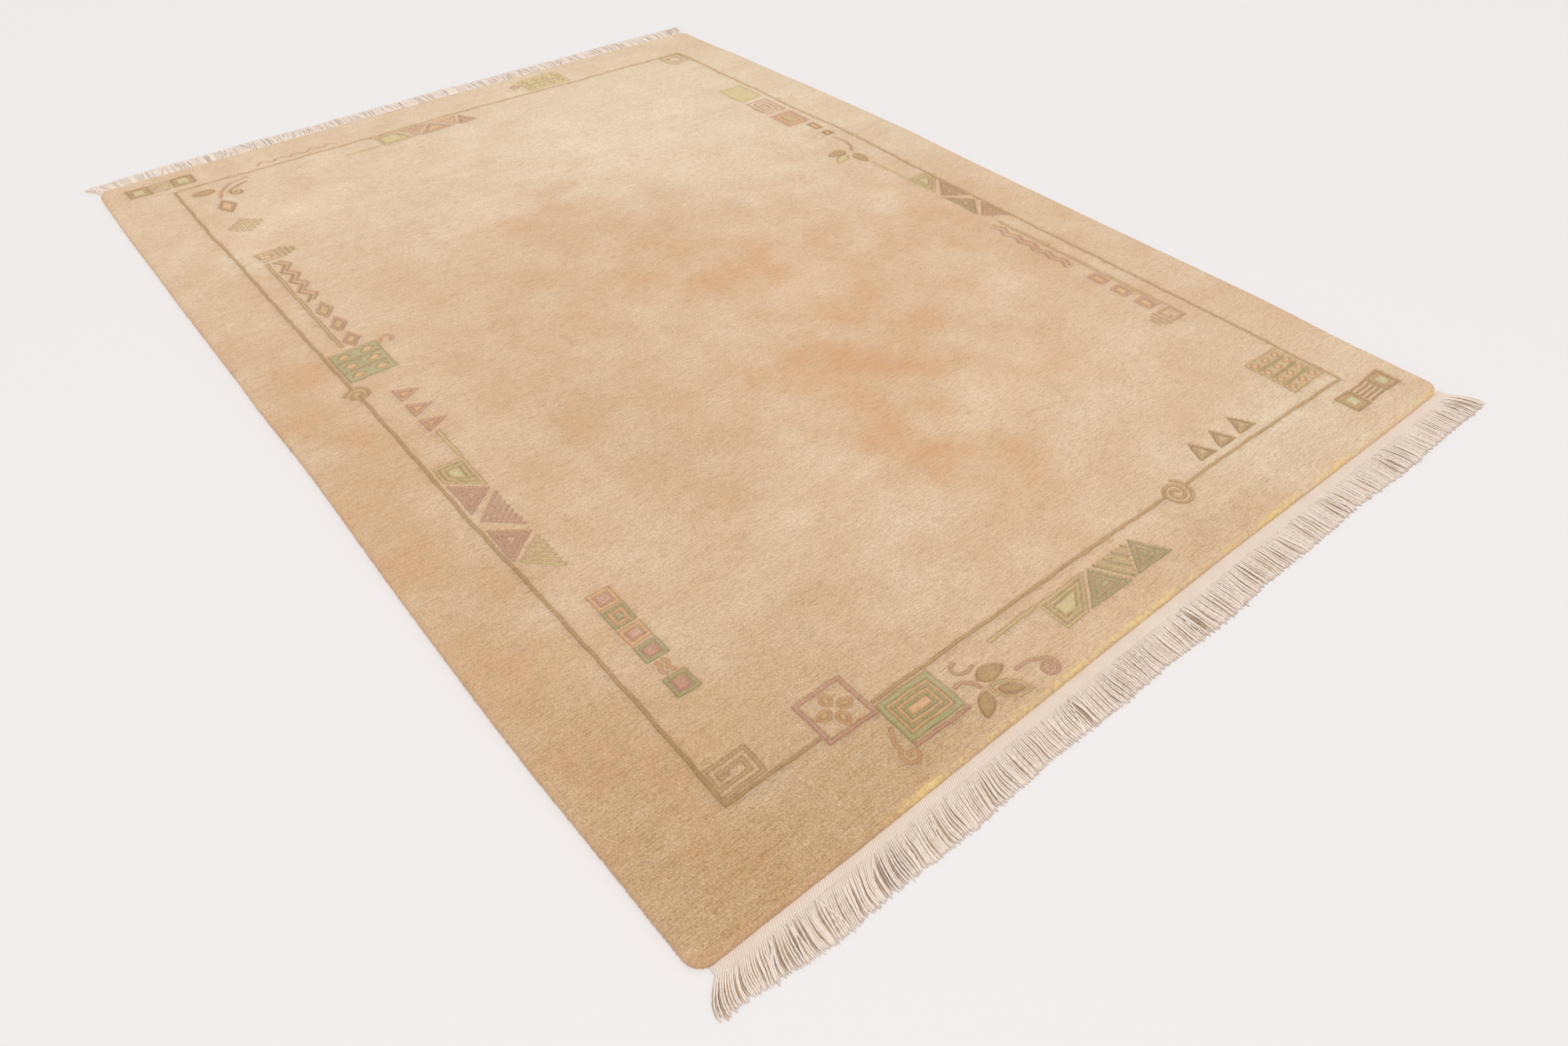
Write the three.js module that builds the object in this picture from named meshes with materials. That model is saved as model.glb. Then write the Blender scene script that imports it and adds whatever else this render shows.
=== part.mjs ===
// A hand-knotted wool rug lying flat: one cut-pile body and, at each short end, a cotton comb made of
// a flat-woven heading with the warp strands hanging from it.
import * as THREE from "three";

// Driving sizes, in millimetres
const PILE_WIDTH = 1735; // between the widest lines of the two long sides
const PILE_LENGTH = 2400; // between the end rows of knots
const PILE_HEIGHT = 13; // foundation and cut pile together
const FOUNDATION_HEIGHT = 3.2;
const FOUNDATION_INSET = 2; // the cut pile leans out over the foundation by this much
const CORNER_RADIUS = 26;
const HEADING_WIDTH = 16; // woven band between the pile and the strands
const HEADING_HEIGHT = 2.4;
const STRAND_REACH = 56; // the longest strands, beyond the band
const STRAND_SHORTEST = 0.8; // the shortest, as a share of the longest
const TEETH = 136; // groups of strands along each band
const TOOTH_ROOT = 0.8; // a tooth's width at the band and at its tip, as shares of the spacing
const TOOTH_TIP = 0.5;
const TIP_WANDER = 3; // how far a tip strays sideways
const SPLAY_FADE = 60; // how quickly the outward splay of the end strands dies away
const PIECE_GAP = 0.3;

// The two short ends: the side along Y, the bow of the end row, how far the band stops short of the
// pile's long sides, and the outward splay of its last strands.
const NEAR = { name: "near", side: -1, bow: 0, shortLeft: 20, shortRight: 2, splayLeft: 20, splayRight: 18 };
const FAR = { name: "far", side: 1, bow: 7, shortLeft: 6, shortRight: 4, splayLeft: 20, splayRight: 20 };

// How far each long side lies inside its widest line, at shares of the way from the near end (-1)
// to the far end (1).
const SIDE_STATIONS = [
  { share: -1.0, left: 9, right: 33 },
  { share: -0.85, left: 5, right: 30 },
  { share: -0.68, left: 0, right: 18 },
  { share: -0.39, left: 1, right: 15 },
  { share: -0.1, left: 6, right: 10 },
  { share: 0.1, left: 3, right: 4 },
  { share: 0.2, left: 4, right: 0 },
  { share: 0.46, left: 3, right: 4 },
  { share: 0.64, left: 4, right: 13 },
  { share: 0.79, left: 4, right: 17 },
  { share: 0.9, left: 6, right: 26 },
  { share: 1.0, left: 8, right: 30 },
];

// The pile's edge in section: how far each level draws in from the outline.
const EDGE_SECTION = [
  { height: 0, inset: FOUNDATION_INSET },
  { height: FOUNDATION_HEIGHT, inset: FOUNDATION_INSET },
  { height: 6.5, inset: 0 },
  { height: 10.3, inset: 1.4 },
  { height: 12.3, inset: 4.4 },
  { height: PILE_HEIGHT, inset: 9 },
];

const OUTLINE_STEPS = 5; // points for each spline station and half arc
const END_STEPS = 24; // points along a bowed end row
const SAME_POINT = 0.01;

// A fixed unevenness from 0 to 1 for a numbered strand group and trait, so that every build is alike.
function unevenness(index, trait) {
  const wave = Math.sin(index * 12.9898 + trait * 78.233) * 43758.5453;
  return wave - Math.floor(wave);
}

// The line of an end row of knots, which may bow out in its middle.
function endLine(end, x) {
  const share = x / (PILE_WIDTH / 2);
  return end.side * (PILE_LENGTH / 2 - end.bow * share * share);
}

function leftSide(station) {
  return -PILE_WIDTH / 2 + station.left;
}

function rightSide(station) {
  return PILE_WIDTH / 2 - station.right;
}

// The centre of a rounded corner, just inside a long side and an end row.
function cornerCentre(sideX, end) {
  const x = sideX - Math.sign(sideX) * CORNER_RADIUS;
  return new THREE.Vector2(x, endLine(end, x) - end.side * CORNER_RADIUS);
}

// The stations of one long side, as points between the two corners that it joins.
function sidePoints(sideAt, nearCentre, farCentre) {
  const middle = (nearCentre.y + farCentre.y) / 2;
  const half = (farCentre.y - nearCentre.y) / 2;
  return SIDE_STATIONS.map((station) => new THREE.Vector2(sideAt(station), middle + station.share * half));
}

// Carries a path on through a side's points, the first of which is where the path already stands.
function followSide(path, points) {
  path.splineThru(points.slice(1));
}

// Carries a path along a bowed end row.
function followEnd(path, end, fromX, toX) {
  for (let step = 1; step <= END_STEPS; step += 1) {
    const x = fromX + ((toX - fromX) * step) / END_STEPS;
    path.lineTo(x, endLine(end, x));
  }
}

// The pile's outline seen from above, counter-clockwise.
function pileOutline() {
  const first = SIDE_STATIONS[0];
  const last = SIDE_STATIONS[SIDE_STATIONS.length - 1];
  const nearLeft = cornerCentre(leftSide(first), NEAR);
  const nearRight = cornerCentre(rightSide(first), NEAR);
  const farRight = cornerCentre(rightSide(last), FAR);
  const farLeft = cornerCentre(leftSide(last), FAR);

  const path = new THREE.Path();
  path.moveTo(nearLeft.x, nearLeft.y - CORNER_RADIUS);
  path.absarc(nearRight.x, nearRight.y, CORNER_RADIUS, -Math.PI / 2, 0);
  followSide(path, sidePoints(rightSide, nearRight, farRight));
  path.absarc(farRight.x, farRight.y, CORNER_RADIUS, 0, Math.PI / 2);
  followEnd(path, FAR, farRight.x, farLeft.x);
  path.absarc(farLeft.x, farLeft.y, CORNER_RADIUS, Math.PI / 2, Math.PI);
  followSide(path, sidePoints(leftSide, nearLeft, farLeft).reverse());
  path.absarc(nearLeft.x, nearLeft.y, CORNER_RADIUS, Math.PI, 1.5 * Math.PI);

  const points = path.getPoints(OUTLINE_STEPS);
  return points.filter((point, i) => {
    const next = points[(i + 1) % points.length];
    return point.distanceTo(next) > SAME_POINT;
  });
}

// The outline drawn in by an even inset, each point moved square to its two neighbouring edges.
function drawnIn(outline, inset) {
  return outline.map((point, i) => {
    const before = outline[(i + outline.length - 1) % outline.length];
    const after = outline[(i + 1) % outline.length];
    const arriving = point.clone().sub(before).normalize();
    const leaving = after.clone().sub(point).normalize();
    const along = arriving.add(leaving).normalize();
    return new THREE.Vector2(point.x - along.y * inset, point.y + along.x * inset);
  });
}

// The knotted body: the outline lofted up the edge section, with a flat underside and a flat top.
function knottedPileGeometry() {
  const outline = pileOutline();
  const count = outline.length;
  const rings = EDGE_SECTION.map((level) => drawnIn(outline, level.inset));
  const positions = [];
  rings.forEach((ring, level) => {
    ring.forEach((point) => positions.push(point.x, point.y, EDGE_SECTION[level].height));
  });

  const triangles = [];
  for (let level = 0; level + 1 < rings.length; level += 1) {
    for (let i = 0; i < count; i += 1) {
      const a = level * count + i;
      const b = level * count + ((i + 1) % count);
      triangles.push(a, b, b + count, a, b + count, a + count);
    }
  }
  const top = (rings.length - 1) * count;
  for (const [a, b, c] of THREE.ShapeUtils.triangulateShape(rings[0], [])) {
    triangles.push(a, c, b);
  }
  for (const [a, b, c] of THREE.ShapeUtils.triangulateShape(rings[rings.length - 1], [])) {
    triangles.push(top + a, top + b, top + c);
  }

  const geometry = new THREE.BufferGeometry();
  geometry.setAttribute("position", new THREE.Float32BufferAttribute(positions, 3));
  geometry.setIndex(triangles);
  geometry.computeVertexNormals();
  return geometry;
}

// How far the tip of a tooth strays sideways: a little wander, and a splay outwards near the band's ends.
function tipShift(end, index, fromLeft, fromRight) {
  const wander = (unevenness(index, end.side) - 0.5) * TIP_WANDER;
  const splayLeft = end.splayLeft * Math.exp(-fromLeft / SPLAY_FADE);
  const splayRight = end.splayRight * Math.exp(-fromRight / SPLAY_FADE);
  return wander - splayLeft + splayRight;
}

// One comb: the woven heading along the end row, with a tooth for each group of strands.
function fringeGeometry(end) {
  const station = end === NEAR ? SIDE_STATIONS[0] : SIDE_STATIONS[SIDE_STATIONS.length - 1];
  const left = leftSide(station) + end.shortLeft;
  const right = rightSide(station) - end.shortRight;
  const spacing = (right - left) / TEETH;
  const innerY = (x) => endLine(end, x) + end.side * (PIECE_GAP - FOUNDATION_INSET);
  const bandY = (x) => endLine(end, x) + end.side * HEADING_WIDTH;

  const points = [];
  for (let i = 0; i < TEETH; i += 1) {
    const middle = left + (i + 0.5) * spacing;
    const length = STRAND_REACH * (STRAND_SHORTEST + (1 - STRAND_SHORTEST) * unevenness(i, 3 + end.side));
    const tip = middle + tipShift(end, i, middle - left, right - middle);
    const root = (TOOTH_ROOT / 2) * spacing;
    const point = (TOOTH_TIP / 2) * spacing;
    const tipY = endLine(end, middle) + end.side * (HEADING_WIDTH + length);
    points.push(new THREE.Vector2(middle - root, bandY(middle - root)));
    points.push(new THREE.Vector2(tip - point, tipY));
    points.push(new THREE.Vector2(tip + point, tipY));
    points.push(new THREE.Vector2(middle + root, bandY(middle + root)));
  }
  for (let i = TEETH; i >= 0; i -= 1) {
    const x = left + i * spacing;
    points.push(new THREE.Vector2(x, innerY(x)));
  }
  return new THREE.ExtrudeGeometry(new THREE.Shape(points), { depth: HEADING_HEIGHT, bevelEnabled: false });
}

function piece(name, geometry, color) {
  const material = new THREE.MeshStandardMaterial({ color, roughness: 0.95, metalness: 0 });
  const mesh = new THREE.Mesh(geometry, material);
  mesh.name = name;
  return mesh;
}

const WOOL = 0xcfb08a;
const COTTON = 0xd9cfc6;

const pieces = new THREE.Group();
pieces.add(piece("knotted_pile", knottedPileGeometry(), WOOL));
for (const end of [NEAR, FAR]) {
  pieces.add(piece(`fringe_${end.name}`, fringeGeometry(end), COTTON));
}

// The origin is on the underside, in the middle of the whole rug's box.
const centre = new THREE.Box3().setFromObject(pieces).getCenter(new THREE.Vector3());
pieces.position.set(-centre.x, -centre.y, 0);
const rug = new THREE.Group();
rug.add(pieces);

export default rug;
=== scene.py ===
"""A hand-knotted wool rug: a carved frame line, small dyed ornaments along it, and cotton fringes."""
import math

import bpy
import numpy as np
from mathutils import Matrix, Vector, kdtree
from mathutils.geometry import delaunay_2d_cdt


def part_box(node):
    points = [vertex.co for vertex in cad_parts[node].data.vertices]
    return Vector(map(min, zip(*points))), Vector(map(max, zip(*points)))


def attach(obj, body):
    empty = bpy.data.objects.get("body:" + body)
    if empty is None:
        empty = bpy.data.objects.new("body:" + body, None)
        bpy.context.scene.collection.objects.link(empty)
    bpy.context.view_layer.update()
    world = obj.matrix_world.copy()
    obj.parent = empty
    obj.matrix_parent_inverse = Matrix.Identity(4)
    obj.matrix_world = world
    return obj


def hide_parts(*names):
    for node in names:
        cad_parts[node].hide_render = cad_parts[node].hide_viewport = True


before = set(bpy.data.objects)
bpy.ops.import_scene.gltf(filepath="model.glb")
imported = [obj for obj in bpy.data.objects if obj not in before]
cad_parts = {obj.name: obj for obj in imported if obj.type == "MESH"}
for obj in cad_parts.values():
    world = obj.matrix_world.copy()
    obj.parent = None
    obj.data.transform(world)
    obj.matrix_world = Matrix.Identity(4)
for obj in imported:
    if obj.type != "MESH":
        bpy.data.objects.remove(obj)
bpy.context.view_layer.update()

# Sizes in millimetres. The drawing's origin is the middle of the rug, x to the right, y to the far end.
MM = 0.001
PILE_LOW, PILE_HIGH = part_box("knotted_pile")
PILE_MIDDLE = (PILE_LOW + PILE_HIGH) / 2
PILE_TOP = PILE_HIGH.z / MM
DRAWING_SHIFT = 11.5
HALF_WIDTH = 867.5
HALF_LENGTH = 1200.0
# From where to where along the rug the edge comes to sit back.
END_FADE = (HALF_LENGTH - 50, HALF_LENGTH - 10)

# The pile's rounded edge, from its top down: how far in from the outline, and how high.
EDGE_SECTION = ((11.0, 13.0), (7.4, 12.5), (4.2, 11.2), (1.8, 9.0), (0.4, 6.2), (0.0, 3.4), (0.8, 0.1))
WIDEST_HEIGHT = 6.5
WIDEST_WITHIN = 0.2
EDGE_STEP = 6.0
EDGE_UNEVEN = 0.3
# Down the pile's rounded edge and on its loose ends the colour is made paler, painted light on the edge's
# shaded side, and rosier.
EDGE_PAINTED_LIGHT = 0.08
EDGE_ROSIER = 0.25
# Along the near end the edge was dyed yellow: from how far in it starts and is full, and from where across.
YELLOW_INWARD = (9.5, 3.0)
YELLOW_FROM = (-640, -480)
# Loose ends along the edge: how many to each step of the outline, how high up the edge they start, their
# lengths, half widths and arch, and how far their aim strays across and up.
TUFTS_A_STEP = 8
TUFT_LEVELS = (0.15, 1.0)
TUFT_LENGTHS = (1.4, 3.0)
TUFT_HALF_WIDTHS = (0.5, 0.9)
TUFT_ARCH = (0.0, 0.5)
TUFT_STRAY = (0.3, 0.2)

# Carving: a shallow groove is cut along each change of colour, and painted shade darkens the colour in and
# beside it.
GROOVE_DEPTH = 3.2
GROOVE_REACH = 1.3
# How strongly painted shade darkens the colour at a groove's bottom.
GROOVE_SHADE = 0.36
# The pile's points: how far apart along an outline, beside it and over the field, and clear of what.
OUTLINE_STEP = 5.4
BESIDE_STEPS = (1.2, 2.4)
BESIDE_SPACING = 1.3
FIELD_STEP = 17.0
FIELD_ROW = 0.87 * FIELD_STEP
FIELD_JITTER = 3.0
CLEAR_OF_GROOVE = 6.0
CLEAR_OF_RIM = 4.0
TREE_STEP = 1.5
JOIN_WITHIN = 1e-4
PILE_SEED = 11
TUFT_SEED = 23
# How far an uneven hand moves a line, and the pile's gentle rise and fall.
HAND_WANDER = 0.65
HAND_SIDEWAYS = ((1.0, 41.0, 17.0, 0.0), (0.6, -13.0, 7.3, 0.0))
HAND_LENGTHWAYS = ((1.0, 19.0, -37.0, 0.0), (0.6, 6.7, 15.0, 0.0))
SWELL = 0.4

# Yarn: a real tuft's end is about 1 mm across and a row 2.5 mm, too fine to show whole at this distance, so
# the ends are drawn about twice as coarse. Partings and dashes run along a row, streaks and drift are the
# dye's.
TUFT = 2.4
GRAIN = 2.0
CLUMP = 8.0
PARTING = (24.0, 2.0)
DASH = (11.0, 2.6)
STREAK = (250.0, 24.0)
DRIFT = 110.0
# How strongly each deepens the colour: the pattern's own middle, and the amount.
# Tufts, partings and dashes deepen it where they lower the relief: painted shade between yarn ends and in the
# rows' partings.
TUFT_PAINTED_SHADE = (0.45, 0.34)
GRAIN_DEPTH = (0.5, 1.70)
PARTING_PAINTED_SHADE = (0.15, 0.14)
DASH_PAINTED_SHADE = (0.15, 0.08)
CLUMP_DEPTH = (0.5, 0.10)
STREAK_DEPTH = (0.5, 0.36)
DRIFT_DEPTH = (0.5, 0.45)
# Where partings and dashes start in their noise, how sharply they do, and how far each shapes the relief.
PARTING_FROM = 0.54
DASH_FROM = 0.52
DRAWN_SHARPNESS = 5.0
TUFT_RELIEF = -0.8
PARTING_RELIEF = -0.7
DASH_RELIEF = -0.25
WOOL_RELIEF = 1.1
ROSY_GAIN = 1.5
YELLOW_CLUMPS = 3.6
YELLOW_DRIFT = 3.2
YELLOW_LEVEL = -3.1
# Cotton: how large a soiled patch is, and a fibre, drawn coarser than a real one's 0.02 mm.
SOIL_PATCH = 60.0
FIBRE = 1.6
COTTON_RELIEF = 0.4

# Ornament strokes.
LINE_WIDTH = 4.6
KEY_STROKE = 4.8
KEY_PITCH = 12.6
NEST_STROKE = 5.0
NEST_GAP = 3.4
STRIPE_PITCH = 9.5

# Fringe: the flat-woven heading, by how far from the pile and how high, and the plied cotton strands.
HEADING_WIDTH = 16.0
HEADING_LAP = 1.2
HEADING_SECTION = ((0.0, 0.1), (0.4, 1.7), (2.4, 2.0), (4.4, 2.1), (6.4, 2.1), (8.4, 2.1), (10.4, 2.1),
                   (12.4, 2.1), (14.4, 2.0), (15.7, 1.4), (HEADING_WIDTH, 0.1))
WARP_PITCH = 3.5
COLUMNS_A_WARP = 5
HEADING_WAVES = ((1.1, 47.0, math.inf, 0.0), (0.6, 17.0, math.inf, 0.0))
RIB_SLANT = 0.3
# How dark the painted shade in the troughs between the heading's ribs is at most.
RIB_SHADE = 0.8
RIB_HEIGHT = 1.2
RIBS_START = (2.0, 5.0)
STRAND_PITCH = 1.55
STRAND_RADIUS = 1.15
LOWER_FULLER = 0.45
STRAND_LENGTH = 54.0
LENGTH_DRIFT = 1.7
LENGTH_WAVES = ((1.0, 95.0, math.inf, 1.0), (1.0, 41.0, math.inf, 0.0))
LENGTH_UNEVEN = 1.8
ROOT_LAP = 5.0
# Painted shade on the lower strands, in the gaps between the upper ones, darkens and clears again along them:
# share of the length, and how dark.
GAPS = ((0.0, 0.4, 0.75, 1.0), (0.0, 1.0, 1.0, 0.3))
# A strand's thickness along it, from its root in the heading to its cut tip.
STRAND_TAPER = ((0.0, 0.15, 0.9, 0.97, 1.0), (0.45, 1.0, 1.0, 1.12, 0.35))
STRAND_RINGS = 12
STRAND_SIDES = 5
STRAND_LOWEST = 0.05
UPPER_LAYER = 2.0
PLY_PITCH = 10.0
PLY_DEPTH = 0.22
# Locks of strands that lie together, how far leans vary, and the few strands that stray across the others.
LOCK_SIZE = 14
LOWER_GATHER = 0.4
LEAN_WAVES = ((3.4, 31.0, math.inf, 0.0), (2.4, 13.0, math.inf, 0.0))
LEAN_UNEVEN = 1.1
STRAY_SHARE = 0.06
STRAY_LEAN = 11.0
STRAY_LIFT = 1.5
# Towards the left corner the strands shorten over this width.
LEFT_SHORT_REACH = 170
# Each end: where its fringe lies, how the pile's edge sits back, how its strands gather, lift and lean, and
# how much painted shade lies in the gaps between them.
NEAR_END = {"name": "near", "side": -1, "bow": 0.0, "left": -828.0, "right": 845.0, "left_short": 10.0,
            "set_back": ((-600, 0), (-400, 3), (-60, 6), (180, 7), (420, 5), (700, 3), (845, 4)),
            "gather": 0.10, "lift": 1.0, "painted_gap_shade": 1.0, "seed": 5,
            "leans": ((-828, -22), (-700, -12), (-600, -18), (-520, -13), (-200, -5), (300, 2), (770, 4),
                      (845, 24))}
FAR_END = {"name": "far", "side": 1, "bow": 7.0, "left": -842.0, "right": 845.0, "left_short": 6.0,
           "set_back": ((-842, 0), (845, 0)), "gather": 0.30, "lift": 4.0, "painted_gap_shade": 0.0, "seed": 8,
           "leans": ((-842, -20), (-770, -3), (-400, 5), (0, -4), (400, 4), (770, 3), (845, 20))}

# Dyes: name, pale and deep sRGB colours of the yarn.
DYES = {
    "khaki": ("#D2B388", "#B29267"),
    "walnut": ("#C8A77E", "#AC8A60"),
    "olive": ("#D6B990", "#BC9D72"),
    "rose": ("#DAB49A", "#BE917A"),
    "madder": ("#CFA388", "#B98A75"),
    "marigold": ("#E2BC92", "#D0A378"),
    "saffron": ("#D8B98A", "#BF9B70"),
    "lime": ("#DAC797", "#C5B07E"),
    "moss": ("#C5B68C", "#A59A6C"),
    "sage": ("#D9C99F", "#C4B48C"),
}
GROUND = {"pale": "#EAD5B9", "deep": "#BB9B74", "rosy": "#D4A173", "edge": "#E8CA88"}
# Painted shade: the brown that the colour in the grooves is multiplied towards.
GROOVE_SHADE_COLOR = "#B28A60"
WOOL_SHEEN = "#FFF1DF"
# Cottons: pale, greyed, and the painted shade in a gap between strands or ribs.
WOVEN_COTTON = ("#F1E6DC", "#DDCCBC", "#C6AD96")
PLIED_COTTON = ("#F2E5D9", "#DDCBBA", "#B29982")

# Clouds in the ground's colour: x, y, reach along x and y, added depth, added rosiness.
CLOUDS = (
    # The two broadest clouds, the first and the last but one, make the ground darker towards the near left
    # corner and paler towards the far right.
    (-720, -1130, 430, 340, 0.47, -0.12),
    (-520, -1170, 200, 110, 0.20, -0.10),
    (-800, -600, 120, 620, 0.34, 0.08),
    (-790, 120, 120, 480, 0.10, 0.15),
    (-410, -400, 170, 310, 0.29, 0.08),
    (-300, 150, 260, 260, 0.12, 0.16),
    (30, 240, 130, 120, 0.16, 0.30),
    (-70, 420, 150, 110, 0.10, 0.30),
    (40, -10, 160, 140, 0.09, 0.30),
    (100, -440, 260, 140, 0.10, 0.40),
    (10, -720, 90, 260, 0.10, 0.40),
    (300, -60, 260, 330, -0.03, 0.22),
    (670, -430, 90, 160, 0.06, 0.10),
    (570, -180, 150, 100, 0.08, 0.25),
    (750, -10, 70, 100, 0.16, 0.14),
    (-570, 760, 120, 90, -0.30, 0.00),
    (-230, 510, 90, 70, -0.20, 0.00),
    (210, 560, 130, 150, -0.10, 0.00),
    (150, -160, 80, 90, -0.25, 0.00),
    (-250, -680, 190, 150, -0.08, -0.05),
    (-480, -740, 110, 90, -0.05, -0.10),
    (310, -690, 210, 80, -0.20, 0.12),
    (450, -400, 80, 70, -0.18, 0.00),
    (610, -20, 80, 60, -0.22, 0.00),
    (540, -1090, 280, 120, -0.06, -0.28),
    (150, -1165, 150, 55, 0.28, 0.00),
    (-510, -440, 60, 90, -0.12, 0.00),
    (420, 760, 760, 600, -0.20, -0.40),
    (-540, 940, 430, 330, -0.10, -0.04),
)
# Waves that make the clouds' edges ragged, across and along the rug.
CLOUDS_ACROSS = ((34, math.inf, 57, 1.3), (22, 47, 23, 0.0), (9, -21, 9, 0.0))
CLOUDS_ALONG = ((30, 61, math.inf, 0.4), (20, 27, -39, 0.0), (8, 11, 17, 0.0))
GROUND_DEPTH = 0.32
GROUND_ROSINESS = 0.42
# A faint old stain in the field: the line that it follows, its half-width and depth, and the points it needs.
STAIN = ((294, -740), (283, -787), (244, -778), (218, -771), (187, -769))
STAIN_REACH = 6.0
STAIN_DEPTH = 0.22
STAIN_STEP = 5.0
STAIN_FINE_STEP = 2.0
STAIN_ROWS = (-8.0, -4.0, 0.0, 4.0, 8.0)

# Studio: the floor in metres, the light from all round, the lamp, and the camera in drawing millimetres.
FLOOR_REACH = 14.0
FLOOR_COLOR = "#E4E0DF"
SKY_COLOR = "#FCFDFF"
SKY_STRENGTH = 0.63
LAMP_COLOR = "#FFFDFB"
LAMP_STRENGTH = 1.8
LAMP_SPREAD = 50
LAMP_AIM = (0.20, 0.30, -1.0)
CAMERA_AT = (-1086.63, -1643.77, 1164.65)
CAMERA_AIM = (0.46067, 0.55872, -0.68965)
CAMERA_LENS = 24.23
SENSOR = 36.0


def to_scene(points):
    """Drawing millimetres as metres in the part's frame."""
    middle = np.array([PILE_MIDDLE.x, PILE_MIDDLE.y, 0.0])
    return (np.asarray(points) - np.array([DRAWING_SHIFT, 0.0, 0.0])) * MM + middle


def smoothstep(low, high, value):
    """0 below low, 1 above high, smooth between."""
    share = np.clip((value - low) / (high - low), 0.0, 1.0)
    return share * share * (3.0 - 2.0 * share)


def bell(share):
    """1 at nought, falling smoothly away on both sides."""
    return np.exp(-(share**2))


def unit(vectors):
    """The vectors at length 1."""
    return vectors / np.linalg.norm(vectors, axis=-1, keepdims=True)


def waved(start, waves, x, y=0.0):
    """A value made uneven by waves: each an amount, its lengths along x and y, and where it begins."""
    for amount, along_x, along_y, beginning in waves:
        start = start + amount * np.sin(x / along_x + y / along_y + beginning)
    return start


# Drawing: paths and shapes as arrays of points.
def spaced(points, step, closed):
    """The line with its corners kept and no stretch longer than a step."""
    points = np.asarray(points, float)
    ends = np.vstack([points, points[:1]]) if closed else points
    made = []
    for start, stop in zip(ends[:-1], ends[1:]):
        count = max(1, math.ceil(np.linalg.norm(stop - start) / step))
        made.append(start + (stop - start) * (np.arange(count) / count)[:, None])
    if not closed:
        made.append(ends[-1:])
    return np.vstack(made)


def moved_aside(path, distance, closed):
    """The path moved to its left by a distance, with mitred corners."""
    ahead = np.roll(path, -1, 0) - path
    if not closed:
        ahead[-1] = ahead[-2]
    ahead = unit(ahead)
    behind = np.roll(ahead, 1, 0)
    if not closed:
        behind[0] = ahead[0]
    along = ahead + behind
    along /= np.maximum(np.linalg.norm(along, axis=1, keepdims=True), 1e-6)
    stretch = 1.0 / np.clip((along * ahead).sum(1, keepdims=True), 0.4, 1.0)
    across = np.column_stack([-along[:, 1], along[:, 0]])
    return path + across * distance * stretch


def anticlockwise(points):
    """The closed shape with its points running anticlockwise, so that its left is its inside."""
    points = np.asarray(points, float)
    x, y = points.T
    area = (x * np.roll(y, -1) - y * np.roll(x, -1)).sum()
    return points if area > 0 else points[::-1]


def curve(points, step=4.0):
    """A smooth line through a few points."""
    points = np.asarray(points, float)
    padded = np.vstack([2 * points[0] - points[1], points, 2 * points[-1] - points[-2]])
    made = []
    for a, b, c, d in zip(padded[:-3], padded[1:-2], padded[2:-1], padded[3:]):
        count = max(2, math.ceil(np.linalg.norm(c - b) / step))
        t = (np.arange(count) / count)[:, None]
        made.append(0.5 * (2 * b + (c - a) * t + (2 * a - 5 * b + 4 * c - d) * t**2
                           + (3 * b - a - 3 * c + d) * t**3))
    return np.vstack(made + [points[-1:]])


def rectangle(at, size):
    """The four corners of an upright rectangle."""
    (x, y), (wide, tall) = at, (size[0] / 2, size[1] / 2)
    return [(x - wide, y - tall), (x + wide, y - tall), (x + wide, y + tall), (x - wide, y + tall)]


def lozenge(at, size, lean=0.0):
    """The four points of a lozenge, its top leaning to the right."""
    (x, y), (wide, tall) = at, (size[0] / 2, size[1] / 2)
    return [(x - lean, y - tall), (x + wide, y), (x + lean, y + tall), (x - wide, y)]


def leaf(base, tip, breadth):
    """A pointed oval from its stem to its tip."""
    base, tip = np.array(base, float), np.array(tip, float)
    along = tip - base
    across = np.array([-along[1], along[0]]) / np.linalg.norm(along)
    t = np.linspace(0.0, 1.0, 9)[:, None]
    half = breadth / 2 * np.sin(np.pi * t**0.8) ** 0.8
    return np.vstack([base + along * t + across * half, (base + along * t - across * half)[-2:0:-1]])


def coil(at, radius, turns, start=0.0, turning=1):
    """A round spiral from its outer end to its middle."""
    count = max(12, int(radius * turns * 0.9))
    t = np.linspace(0.0, 1.0, count)
    angle = math.radians(start) + turning * 2 * math.pi * turns * t
    reach = radius * (1.0 - 0.86 * t)
    return np.column_stack([at[0] + reach * np.cos(angle), at[1] + reach * np.sin(angle)])


def key_path(at, size, pitch=KEY_PITCH):
    """A square spiral from a corner to the middle."""
    left, right = at[0] - size[0] / 2, at[0] + size[0] / 2
    low, high = at[1] - size[1] / 2, at[1] + size[1] / 2
    path = [(left, low)]
    while right - left > pitch * 0.8 and high - low > pitch * 0.8:
        path += [(right, low), (right, high), (left, high), (left, low + pitch)]
        left, right, low, high = left + pitch, right - pitch, low + pitch, high - pitch
        if right > left:
            path.append((left, low))
    return path


# Dyed patches: each is a dye and its outline loops.
def filled(points, dye):
    """A shape of one dye."""
    return [(dye, [anticlockwise(points)])]


def line(path, width, dye):
    """A stroke along an open path, with cut ends."""
    path = spaced(path, OUTLINE_STEP, False)
    left, right = moved_aside(path, width / 2, False), moved_aside(path, -width / 2, False)
    return [(dye, [np.vstack([left, right[::-1]])])]


def outlined(points, width, dye, inset=0.0):
    """A band of one dye just inside a closed shape."""
    points = anticlockwise(points)
    outer = moved_aside(points, inset, True) if inset else points
    return [(dye, [outer, moved_aside(points, inset + width, True)])]


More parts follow.
